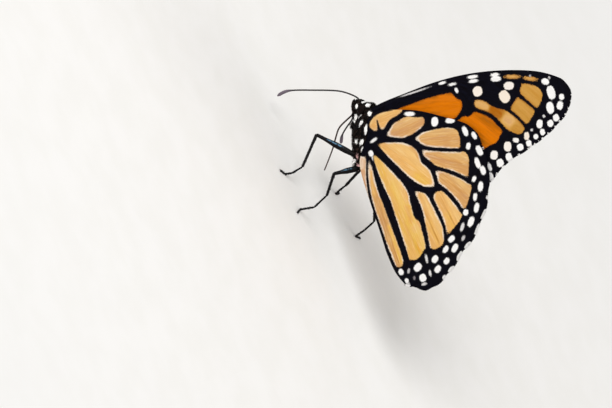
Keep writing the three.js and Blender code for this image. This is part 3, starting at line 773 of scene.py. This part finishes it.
body = {
    "thorax": {"front": -4.75, "back": 5.9, "axis": -1.2, "tilt": 0.3, "wide": 2.42, "high": 3.27},
    "head": {"middle": (-6.45, 0, -0.42), "size": (1.62, 1.4, 1.5)},
    "abdomen": {"axis": [[4.4, -3.0], [9, -2.75], [14, -2.5], [19, -2.45], [23.0, -2.88]],
                "wide": 1.72, "high": 1.92, "rings": 8, "groove": 0.09},
    "palp": {"path": [[-5.5, 0.45, -1.95], [-6.7, 0.5, -1.8], [-7.75, 0.55, -1.35], [-8.35, 0.5, -0.75]],
             "radius": 0.32},
    # lobes melted into the skin: middle of the left one, half sizes
    "lobes": [
        ((-4.9, 0, -0.3), (1.1, 1.15, 1.35)),  # neck
        ((-5.3, -0.8, 1.55), (1.3, 1.0, 1.15)),  # collar
        ((-5.2, -0.3, -1.7), (1.0, 0.7, 0.9)),  # chin
        ((-3.6, -2.25, 1.95), (1.0, 0.55, 1.15)),  # tegula
        ((-0.6, -2.15, 0.6), (2.1, 0.8, 0.9)),  # wing hinges
        ((1.7, -2.2, -0.1), (1.9, 0.75, 1.0)),
        ((-3.2, -1.0, -2.4), (0.8, 0.6, 0.9)),  # hips
        ((2.5, -1.35, -4.1), (0.85, 0.6, 0.75)),
        ((4.8, -1.5, -4.65), (1.35, 0.62, 0.85)),
    ],
    # pale spots on both flanks: middle, half length, half width, turn, dimness, pinkness
    "spots": [
        (-6.9, 0.55, 0.8, 0.21, 0.22, 0, 0, 0), (-6.5, 1.1, -0.5, 0.5, 0.26, -22, 0, 0),
        (-5.7, 1.5, 2.0, 0.46, 0.32, 60, 0, 0), (-3.7, 2.6, 2.28, 0.47, 0.4, 0, 0, 0),
        (-4.15, 1.3, -1.9, 1.1, 0.36, -28, 0, 0), (-4.3, 1.5, -0.5, 0.5, 0.18, -60, 0.4, 0),
        (-2.65, 2.4, -0.75, 0.87, 0.36, -66, 0, 0), (-0.9, 2.4, 0.42, 1.15, 0.42, -39, 0, 0),
        (0.5, 2.3, -2.85, 0.4, 0.4, -22, 0, 0), (1.05, 2.5, -1.6, 0.72, 0.36, -54, 0, 0),
        (2.6, 2.5, -1.85, 0.62, 0.4, -60, 0.1, 0), (3.5, 2.2, -3.8, 0.42, 0.32, 0, 0, 1),
        (4.3, 1.9, -5.0, 0.6, 0.34, -60, 0, 0.1), (5.4, 1.9, -4.3, 0.5, 0.34, -22, 0, 1),
    ],
    "bars": {"x": (9.6, 11.8, 14.0, 16.2, 18.4, 20.4),  # pale bars along the abdomen
             "spot": (1.25, -3.75, 0.16, 0.42, 12, 0.2, 0)},
    "spotReach": 0.85,  # how far a spot wraps round the flank
    "meltGrain": 0.11, "meltRounds": 5,  # fineness of the skin, rounds of smoothing
    "dark": "#050304", "warm": "#604C43", "white": "#FFFEFB", "pink": "#DDB0AE", "dim": "#6B6266",
}

# what the coats share: how unruly they are, ranges of length, width and lift, depth of the roots
fur = {"stray": 0.28, "long": (0.65, 1.25), "wide": (0.7, 1.2), "lift": (0.4, 1.7), "root": 0.03,
       "whiteWide": 2.4, "whiteLift": 0.35}  # white scales are broad and lie flat
# each coat: stretch of the body, number, length, half width, degrees off the skin, lie
coat = {
    "thorax": {"from": -5.0, "to": 5.6, "count": 12000, "long": 0.5, "wide": 0.05, "lift": 26,
               "lie": (1, 0, -0.45)},
    "head": {"from": -99, "to": -4.9, "count": 5200, "long": 0.34, "wide": 0.035, "lift": 34,
             "lie": (1, 0, 0)},
    "abdomen": {"from": 5.2, "to": 99, "count": 11000, "long": 0.32, "wide": 0.075, "lift": 10,
                "lie": (1, 0, -0.45)},
}


def trunk(path, radii, around, stretch):  # tube made wider and higher about its own path
    made = tube(path, radii, around)
    middle = np.repeat(path, around, axis=0)
    points = made["points"]
    points[: len(middle)] = middle + (points[: len(middle)] - middle) * stretch
    return made


def thoraxShape(look):
    middle, half = (look["front"] + look["back"]) / 2, (look["back"] - look["front"]) / 2
    x = look["front"] + half * (1 - np.cos(np.linspace(0, 1, 41) * math.pi))
    full = np.maximum(1 - np.abs((x - middle) / half) ** 3, 1e-4) ** (1 / 3)
    path = np.stack([x, 0 * x, look["axis"] - look["tilt"] * x], 1)
    return trunk(path, full, 40, (0, look["wide"], look["high"]))


def abdomenShape(look):
    axis, share = splineCurve(look["axis"], 97), np.linspace(0, 1, 97)
    taper = np.sin(math.pi * np.minimum(0.32 + 0.66 * share, 1)) ** 0.55
    step = (share * look["rings"]) % 1
    groove = 1 - look["groove"] * (np.exp(-(step / 0.12) ** 2) + np.exp(-((1 - step) / 0.07) ** 2) * 0.6)
    path = np.stack([axis[:, 0], 0 * share, axis[:, 1]], 1)
    return trunk(path, taper * groove, 36, (1, look["wide"], look["high"]))


def palpShape(look):
    swell = look["radius"] * np.sin(math.pi * np.linspace(0.12, 0.97, 24)) ** 0.5
    return tube(splineCurve(look["path"], 24), swell, 16)


def mirrored(made):
    flipped = shape(made["points"] * (1, -1, 1), made["quads"][:, ::-1], made["tris"][:, ::-1])
    flipped["marks"] = dict(made["marks"])
    return flipped


def meltTogether(shapes, voxel, rounds):  # one closed skin over overlapping shapes
    joined = join(shapes)
    draft = bpy.data.objects.new("draft", makeMesh("draft", joined["points"], joined))
    scene.collection.objects.link(draft)
    melt = draft.modifiers.new("melt", "REMESH")
    melt.mode, melt.voxel_size = "VOXEL", voxel
    ease = draft.modifiers.new("ease", "SMOOTH")
    ease.factor, ease.iterations = 0.5, rounds
    mesh = bpy.data.meshes.new_from_object(draft.evaluated_get(bpy.context.evaluated_depsgraph_get()))
    points = np.empty(len(mesh.vertices) * 3, np.float32)
    mesh.vertices.foreach_get("co", points)
    corners = np.empty(len(mesh.loops), np.int32)
    mesh.loops.foreach_get("vertex_index", corners)
    bpy.data.objects.remove(draft)
    return shape(points, corners)


def bodySpots(points):
    pale, dim, pink = np.full(len(points), -1.0), np.zeros(len(points)), np.zeros(len(points))
    bars = [(x, *body["bars"]["spot"]) for x in body["bars"]["x"]]
    for x, y, z, long, wide, turn, grey, rosy in body["spots"] + bars:
        depth, _ = spotDepth([(x, z, long, wide, turn)], points[:, [0, 2]])
        depth = depth - np.maximum(np.abs(np.abs(points[:, 1]) - y) - body["spotReach"], 0)
        better = depth > pale
        pale[better], dim[better], pink[better] = depth[better], grey, rosy
    return {"pale": pale, "dim": dim, "pink": pink}


def unwrap(piece):
    bpy.context.view_layer.objects.active = piece
    piece.select_set(True)
    piece.data.uv_layers.new(name="OFBake")
    bpy.ops.object.mode_set(mode="EDIT")
    bpy.ops.mesh.select_all(action="SELECT")
    bpy.ops.uv.smart_project(angle_limit=1.15, island_margin=0.003)
    bpy.ops.object.mode_set(mode="OBJECT")
    piece.select_set(False)
    chart = np.empty(len(piece.data.loops) * 2, np.float32)
    piece.data.uv_layers["OFBake"].data.foreach_get("uv", chart)
    return chart.reshape(-1, 4, 2)


def scatter(skin, charts, look):  # places on one stretch of the skin, their facings and bake seats
    corners = skin["points"][skin["quads"]]
    facing = np.cross(corners[:, 2] - corners[:, 0], corners[:, 3] - corners[:, 1])
    area = np.linalg.norm(facing, axis=1)
    x = corners.mean(1)[:, 0]
    weight = area * ((x >= look["from"]) & (x < look["to"]))
    pick = rng.choice(len(area), look["count"], p=weight / weight.sum())
    s, t = rng.random((2, look["count"], 1))
    places, seats = [(c[:, 0] * (1 - s) + c[:, 1] * s) * (1 - t) + (c[:, 3] * (1 - s) + c[:, 2] * s) * t
                     for c in (corners[pick], charts[pick])]
    return places, facing[pick] / area[pick][:, None], seats


def makeTufts(places, facing, seats, lie, long, wide, deep, lift, **marks):
    # each tuft is a three-sided blade that leaves the skin and bends over along the lie of the coat
    count = len(places)
    lie = lie - (lie * facing).sum(1)[:, None] * facing
    lie /= np.maximum(np.linalg.norm(lie, axis=1), 1e-6)[:, None]
    side = np.cross(facing, lie) * wide[:, None]
    half, lift = long[:, None] * 0.5, np.radians(lift)[:, None]
    root = places - facing * fur["root"]
    middle = root + (lie * np.cos(lift) + facing * np.sin(lift)) * half
    tip = middle + (lie * np.cos(lift * 0.2) + facing * np.sin(lift * 0.2)) * half
    spread = (side, -side, facing * deep[:, None])
    points = np.stack([root + s * 0.7 for s in spread] + [middle + s for s in spread] + [tip], 1)
    start = (np.arange(count) * 7)[:, None, None]
    quads = start + np.array([[1, 0, 3, 4], [2, 1, 4, 5], [0, 2, 5, 3]])
    tris = start + np.array([[4, 3, 6], [5, 4, 6], [3, 5, 6], [0, 1, 2]])
    made = shape(points, quads, tris, **{key: np.repeat(value, 7) for key, value in marks.items()})
    made["bakeMap"] = np.clip(seatMap(seats, 3, 4, (bakeSquare - 0.5) * bake["tuft"]), 0, 1)
    return made


def coatMaterial():
    material, tree, surface = newMaterial("bodyCoat")
    dust = useGroup(tree, grain, Scale=5200.0)["Value"]
    shade = ramp(tree, times(tree, dust, 0.5, mark(tree, "shade")), 0.55, 1.4)
    colour = blend(tree, shade, tone(body["dark"]), tone(body["warm"]))
    rosy = blend(tree, mark(tree, "pink"), tone(body["white"]), tone(body["pink"]))
    white = blend(tree, mark(tree, "dim"), rosy, tone(body["dim"]))
    edge = times(tree, dust, 0.1, mark(tree, "pale"))
    # painted light: the white scales glow, to brighten them against the shade that the tufts cast on each
    # other
    paintedGlow = blend(tree, ramp(tree, edge, 0.02, 0.12, 0.0, 0.34), [0, 0, 0, 1], white)
    plug(tree, surface, {
        "Base Color": blend(tree, ramp(tree, edge, 0.0, 0.07), colour, white),
        "Emission Color": paintedGlow, "Emission Strength": 1.0,
        "Roughness": 0.75, "Specular IOR Level": 0.1, "Normal": relief(tree, dust, 0.5, 0.06)})
    return material


def addBody():
    palp = palpShape(body["palp"])
    shapes = [thoraxShape(body["thorax"]), abdomenShape(body["abdomen"]),
              ball(body["head"]["middle"], body["head"]["size"]), palp, mirrored(palp)]
    for middle, size in body["lobes"]:
        lobe = ball(middle, size)
        shapes += [lobe, mirrored(lobe)]
    skin = meltTogether(shapes, body["meltGrain"], body["meltRounds"])
    skin["marks"] = {**bodySpots(skin["points"]), "shade": np.zeros(len(skin["points"]))}
    material = coatMaterial()
    nodes = ["thorax", "abdomen", "head", "palp_l", "palp_r"]
    charts = unwrap(addPiece("body_skin", skin, material, nodes))
    for part, look in coat.items():
        places, facing, seats = scatter(skin, charts, look)
        count, x, z = len(places), places[:, 0], places[:, 2]
        lie = look["lie"] + rng.normal(0, fur["stray"], places.shape)
        long, wide, lift = [look[key] * rng.uniform(*fur[key], count) for key in ("long", "wide", "lift")]
        if part == "head":  # short on the face, longer towards the neck
            long *= 0.65 + 0.5 * smoothStep(-8.2, -5.2, x)
        if part == "thorax":  # shaggier underneath
            long *= 0.8 + 0.7 * smoothStep(0.5, -3.5, z)
            lift *= 1 + 0.7 * smoothStep(-1.5, -4.0, z)
        shade = rng.random(count) ** 2.5
        spots = bodySpots(places + lie * long[:, None] * 0.6)
        white = spots["pale"] > 0.01
        deep = wide * np.where(white, 0.25, 0.5)
        wide = wide * np.where(white, fur["whiteWide"], 1)
        lift = lift * np.where(white, fur["whiteLift"], 1)
        tufts = makeTufts(places, facing, seats, lie, long, wide, deep, lift, shade=shade, **spots)
        addPiece("coat_" + part, tufts, material)


addBody()

eyes = {"middle": (-5.55, 1.12, 0.12), "size": (0.96, 0.62, 1.02), "dark": "#080404", "cloud": "#170A08",
        "facets": 16000.0}  # facets to a metre


def addEyes():
    material, tree, surface = newMaterial("eyeGlass")
    place = addNode(tree, "TexCoord").outputs["Object"]
    facets = addNode(tree, "TexVoronoi", {"Vector": place, "Scale": eyes["facets"], "Randomness": 0.25})
    clouds = ramp(tree, useGroup(tree, grain, Scale=1500.0, Detail=2.0)["Value"], 0.4, 0.65)
    plug(tree, surface, {
        "Base Color": blend(tree, clouds, tone(eyes["dark"]), tone(eyes["cloud"])),
        "Roughness": 0.18, "Specular IOR Level": 0.07,
        "Normal": relief(tree, facets.outputs["Distance"], 0.25, 0.03, invert=True)})
    x, y, z = eyes["middle"]
    for suffix, side in sides:
        orb = ball((x, side * y, z), eyes["size"], 48, 72)
        addPiece(f"eye_{suffix}_lens", orb, material, [f"eye_{suffix}"])


addEyes()

feelers = {
    "l": [[-7.1, -0.7, 0.1], [-8.2, -0.95, 0.1], [-9.7, -1.9, -1.2], [-10.9, -3.2, -2.9],
          [-12.4, -5.1, -6.5], [-14.1, -7.1, -11.2], [-13.9, -8.0, -13.7]],
    "r": [[-7.1, 0.7, 0.1], [-7.9, 1.5, -0.7], [-6.9, 2.4, -2.8], [-5.6, 3.9, -4.8],
          [-4.9, 6.0, -7.6], [-4.3, 8.2, -10.0], [-3.2, 10.0, -11.7]],
    "shaft": 0.17, "club": 0.36, "clubShare": 0.2, "base": (0.3, 0.27, 0.27),
    "joints": 44, "waist": 0.14, "tip": 0.035,  # how much each joint narrows, share that rounds off
    "dark": "#120C09", "dust": "#6A5F6A", "rough": 0.55,
}


def hornMaterial(name, look):  # horny skin with a dusting of scales
    material, tree, surface = newMaterial(name)
    dust = useGroup(tree, grain, Scale=7000.0)["Value"]
    dusty = ramp(tree, times(tree, dust, 0.5, mark(tree, "dusty")), 0.2, 1.2)
    plug(tree, surface, {
        "Base Color": blend(tree, dusty, tone(look["dark"]), tone(look["dust"])),
        "Roughness": look["rough"], "Specular IOR Level": 0.3, "Normal": relief(tree, dust, 0.4, 0.03)})
    return material


def addFeelers():
    look = feelers
    material = hornMaterial("feelerHorn", look)
    count = look["joints"] * 5 + 1
    share = np.linspace(0, 1, count)
    step = (share * look["joints"]) % 1
    club = smoothStep(1 - look["clubShare"], 1 - look["clubShare"] * 0.45, share)
    radius = look["shaft"] + (look["club"] - look["shaft"]) * club
    radius = radius * (1 - look["waist"] * np.exp(-(np.minimum(step, 1 - step) / 0.14) ** 2))
    radius *= np.sqrt(np.clip((1 - share) / look["tip"], 0.02, 1))
    for suffix, _ in sides:
        path = splineCurve(look[suffix], count)
        made, base = tube(path, radius, 14), ball(path[2] + (0.1, 0, 0), look["base"], 16, 20)
        made["marks"]["dusty"] = smoothStep(0.78, 0.9, made["marks"]["share"]) * 0.9
        base["marks"]["dusty"] = np.ones(len(base["points"]))
        addPiece(f"feeler_{suffix}", join([made, base]), material, [f"antenna_{suffix}"])


addFeelers()

tongue = {
    "path": [[-6.4, 0, -1.5], [-5.6, 0, -2.6], [-5.05, 0, -4.3], [-4.2, 0, -6.4], [-2.7, 0, -7.8],
             [-0.9, 0, -9.2], [0.9, 0, -10.9], [2.7, 0, -12.7]],
    "radius": 0.2, "tipRadius": 0.11, "rings": 90, "ringDip": 0.1,
    "halfShare": 0.85, "apart": 0.09,  # radius of each half, and how far it is from the middle
    "dark": "#220C06", "dust": "#5A3426", "rough": 0.45,
}


def addTongue():  # two half tubes zipped together
    count = tongue["rings"] * 3 + 1
    path = splineCurve(tongue["path"], count)
    radius = tongue["radius"] + (tongue["tipRadius"] - tongue["radius"]) * np.linspace(0, 1, count)
    radius = radius * (1 - tongue["ringDip"] * (np.arange(count) % 3 == 0)) * tongue["halfShare"]
    halves = [tube(path + (0, side * tongue["apart"], 0), radius, 12) for _, side in sides]
    for half in halves:
        half["marks"]["dusty"] = 0.3 * half["marks"]["share"]
    addPiece("tongue", join(halves), hornMaterial("tongueHorn", tongue), ["proboscis"])


addTongue()

# stations of each walking leg: hip, knee, ankle, arch, heel, toe
legs = {
    "midleg_l": [[2.8, -1.6, -4.3], [-3.7, -5.2, -9.4], [1.9, -8.2, -13.4], [2.5, -8.9, -15.0],
                 [2.2, -9.8, -16.9], [1.5, -11.4, -16.87]],
    "midleg_r": [[2.8, 1.6, -4.3], [4.2, 6.9, -8.2], [5.4, 9.6, -13.6], [5.6, 10.0, -15.2],
                 [5.9, 10.9, -16.9], [5.7, 12.4, -16.87]],
    "hindleg_l": [[5.6, -1.4, -4.2], [5.5, -6.2, -8.1], [9.9, -10.2, -9.4], [11.1, -9.7, -12.6],
                  [10.0, -8.6, -16.9], [10.7, -10.2, -16.87]],
    "hindleg_r": [[5.6, 1.4, -4.2], [9.6, 7.3, -6.6], [14.4, 11.4, -11.0], [15.0, 12.5, -14.2],
                  [15.3, 13.3, -16.9], [15.6, 14.9, -16.87]],
}
legMake = {
    "hip": 0.44, "thigh": 0.64, "knee": 0.36, "shin": 0.29, "ankle": 0.24, "foot": 0.2,  # radii
    "footCuts": (0, 0.42, 0.6, 0.74, 0.86, 1.0),  # joints of the foot, as shares of its length
    "overlap": 0.55,  # how far a segment runs past its joints, in radii
    "glintFrom": (-0.25, 0.75, 0.6), "glintPower": 16,  # where the sheen faces, how narrow it is
    # for thigh, shin and foot: number of bristles, their least and greatest length, how far they stand out
    "bristles": ((40, 0.2, 0.35, 0.25), (70, 0.22, 0.42, 0.5), (26, 0.22, 0.42, 0.5)),
    "bristle": 0.035, "brushHair": 0.03, "claw": 0.08,  # radii at the root
    "dark": "#020102", "dust": "#100D10", "glint": "#5C86A2",
}
foreleg = {"path": [[-4.0, 1.5, -0.6], [-3.0, 2.4, -0.9], [-2.1, 2.6, -1.45], [-2.4, 2.35, -2.0],
                    [-3.4, 1.8, -2.3], [-4.2, 1.0, -2.55]], "radius": 0.22, "hairs": 260}


def spindle(start, end, radii, count):  # a limb segment whose rounded ends reach into the next
    heading = unit(end - start)
    start = start - heading * radii[0] * legMake["overlap"]
    end = end + heading * radii[-1] * legMake["overlap"]
    share = np.linspace(0, 1, count)
    radius = np.interp(share, np.linspace(0, 1, len(radii)), radii)
    cap = np.minimum(share, 1 - share) * np.linalg.norm(end - start) / radius
    radius = radius * np.sqrt(1 - np.clip(1 - cap, 0, 0.995) ** 2)
    return tube(start + (end - start) * share[:, None], radius, 14)


def unlit(made):  # no glint
    made["marks"] = {"glint": np.zeros(len(made["points"]))}
    return made


def bristle(root, tip, radius):
    return unlit(tube(np.linspace(root, tip, 3), [radius, radius * 0.7, radius * 0.06], 5))


def makeLeg(stations):
    m = legMake
    hip, knee, ankle, arch, heel, toe = np.array(stations, float)
    parts = [(hip, knee, [m["hip"], m["thigh"], m["thigh"], m["knee"] * 1.15, m["knee"]], 0),
             (knee, ankle, [m["knee"], m["shin"], m["shin"], m["ankle"] * 1.15], 1)]
    foot = np.array([ankle, arch, heel, toe])
    length = travelled(foot)
    cuts = np.array(m["footCuts"]) * length[-1]
    joints = sample(foot, cuts, length)
    if length[2] / length[-1] > 0.5:  # a joint where the foot meets the ground
        joints[np.argmin(np.abs(cuts - length[2]))] = heel
    for a, b in zip(joints[:-1], joints[1:]):
        parts.append((a, b, [m["foot"] * 0.85, m["foot"], m["foot"] * 1.12], 2))
    shapes = []
    light = np.array(m["glintFrom"]) * (1, np.sign(hip[1]), 1)
    for a, b, radii, kind in parts:
        limb = spindle(a, b, radii, 31 if kind < 2 else 13)
        share = limb["marks"]["share"]
        window = (smoothStep(0.25, 0.4, share) * (1 - smoothStep(0.68, 0.8, share)),
                  0.35 * (1 - smoothStep(0.0, 0.2, share)), 0)[kind]
        limb["marks"] = {"glint": np.clip(limb["outward"] @ light, 0, 1) ** m["glintPower"] * window}
        shapes.append(limb)
    for a, b, radii, kind in parts:  # bristles that point down the limb
        heading = unit(b - a)
        count, shortest, longest, stance = m["bristles"][kind]
        for _ in range(count):
            t = rng.uniform(0.08, 0.97)
            out = unit(np.cross(heading, rng.normal(0, 1, 3)))
            root = a + (b - a) * t + out * np.interp(t, np.linspace(0, 1, len(radii)), radii) * 0.85
            tip = root + (heading * 0.85 + out * stance) * rng.uniform(shortest, longest)
            tip[2] = max(tip[2], floorLevel + 0.02)
            root[2] = max(root[2], floorLevel + 0.04)
            shapes.append(bristle(root, tip, m["bristle"]))
    ahead, across = unit(toe - heel), unit(np.cross(toe - heel, (0, 0, 1.0)))
    for sway in (-1, 1):  # claws
        bend = toe + ahead * 0.2 + across * sway * 0.16 + (0, 0, 0.06)
        tip = toe + ahead * 0.42 + across * sway * 0.2
        tip[2] = floorLevel + 0.03
        shapes.append(unlit(tube(splineCurve([toe, bend, tip], 9), np.linspace(m["claw"], 0.012, 9), 7)))
    made = join(shapes)
    made["points"][:, 2] = np.maximum(made["points"][:, 2], floorLevel + 0.004)
    return made


def makeForeleg(side):
    path = splineCurve(np.array(foreleg["path"]) * (1, side, 1), 41)
    share = np.linspace(0, 1, 41)
    radius = foreleg["radius"] * (1 - 0.25 * share)
    radius *= np.sqrt(np.clip(np.minimum(share, 1 - share) / 0.03, 0.05, 1))
    shapes = [unlit(tube(path, radius, 12))]
    heading = unit(np.gradient(path, axis=0))
    for _ in range(foreleg["hairs"]):
        k = rng.integers(2, 39)
        out = unit(np.cross(heading[k], rng.normal(0, 1, 3)))
        root = path[k] + out * radius[k] * 0.8
        tip = root + (heading[k] + out * 0.6) * rng.uniform(0.2, 0.36)
        shapes.append(bristle(root, tip, legMake["brushHair"]))
    return join(shapes)


def legMaterial():
    material, tree, surface = newMaterial("legHorn")
    dust = useGroup(tree, grain, Scale=6500.0)["Value"]
    patches = ramp(tree, useGroup(tree, grain, Scale=2600.0, Detail=2.0)["Value"], 0.3, 0.55)
    colour = blend(tree, ramp(tree, dust, 0.4, 0.75), tone(legMake["dark"]), tone(legMake["dust"]))
    glint = ramp(tree, times(tree, mark(tree, "glint"), patches), 0.15, 0.7)
    plug(tree, surface, {
        "Base Color": blend(tree, glint, colour, tone(legMake["glint"])),
        "Roughness": 0.5, "Specular IOR Level": 0.12, "Normal": relief(tree, dust, 0.5, 0.04)})
    return material


def addLegs():
    material = legMaterial()
    for name, stations in legs.items():
        addPiece(name + "_limb", makeLeg(stations), material, [name])
    for suffix, side in sides:
        addPiece(f"foreleg_{suffix}_brush", makeForeleg(side), material, [f"foreleg_{suffix}"])


addLegs()

# lamps: place, size in metres, power
studio = {
    "world": 0.55, "backdrop": "#F4F3F1", "floor": "#ECEAE6", "floorPale": "#EFEDEA",
    "floorHalf": 4.0, "fadeStart": 0.05, "fadeEnd": 0.3, "aim": (0, 0, 0.03),
    "lamps": {"key": ((-0.25, -0.45, 0.55), 0.4, 3.2), "fill": ((0.5, 0.35, 0.4), 0.5, 1.6)},
}


def addLamps():
    for name, (place, size, power) in studio["lamps"].items():
        data = bpy.data.lights.new(name, "AREA")
        data.size, data.energy = size, power
        lamp = bpy.data.objects.new(name, data)
        lamp.location = place
        lamp.rotation_euler = (Vector(studio["aim"]) - Vector(place)).to_track_quat("-Z", "Y").to_euler()
        scene.collection.objects.link(lamp)


def addBackdrop():
    world = bpy.data.worlds.new("studio")
    scene.world = world
    world.use_nodes = True
    tree = world.node_tree
    rays = addNode(tree, "LightPath").outputs
    seen = sums(tree, "ADD", rays["Is Camera Ray"], rays["Is Glossy Ray"])
    seen = sums(tree, "MINIMUM", sums(tree, "ADD", seen, rays["Is Transmission Ray"]), 1.0)
    shown = blend(tree, seen, [studio["world"]] * 3 + [1], tone(studio["backdrop"]))
    plug(tree, tree.nodes["Background"], {"Color": shown})


def addFloor():
    half = studio["floorHalf"]
    mesh = bpy.data.meshes.new("floor")
    corners = [(-half, -half, 0), (half, -half, 0), (half, half, 0), (-half, half, 0)]
    mesh.from_pydata(corners, [], [(0, 1, 2, 3)])
    floor = bpy.data.objects.new("floor", mesh)
    scene.collection.objects.link(floor)
    material, tree, surface = newMaterial("floorPaper")
    pulp = ramp(tree, addNode(tree, "TexNoise", {"Scale": 900.0, "Detail": 4.0}).outputs["Fac"], 0.3, 0.7)
    colour = blend(tree, pulp, tone(studio["floor"]), tone(studio["floorPale"]))
    # the floor runs out into the backdrop away from the model
    place = addNode(tree, "TexCoord").outputs["Object"]
    away = addNode(tree, "VectorMath", {0: place}, operation="LENGTH").outputs["Value"]
    seen = times(tree, ramp(tree, away, studio["fadeStart"], studio["fadeEnd"]),
                 addNode(tree, "LightPath").outputs["Is Camera Ray"])
    plug(tree, surface, {
        "Base Color": blend(tree, seen, colour, [0, 0, 0, 1]),
        "Emission Color": blend(tree, seen, [0, 0, 0, 1], tone(studio["backdrop"])),
        "Emission Strength": 1.0, "Roughness": 0.9, "Specular IOR Level": 0.0})
    mesh.materials.append(material)


addBackdrop()
addLamps()
addFloor()
print("studio lit")
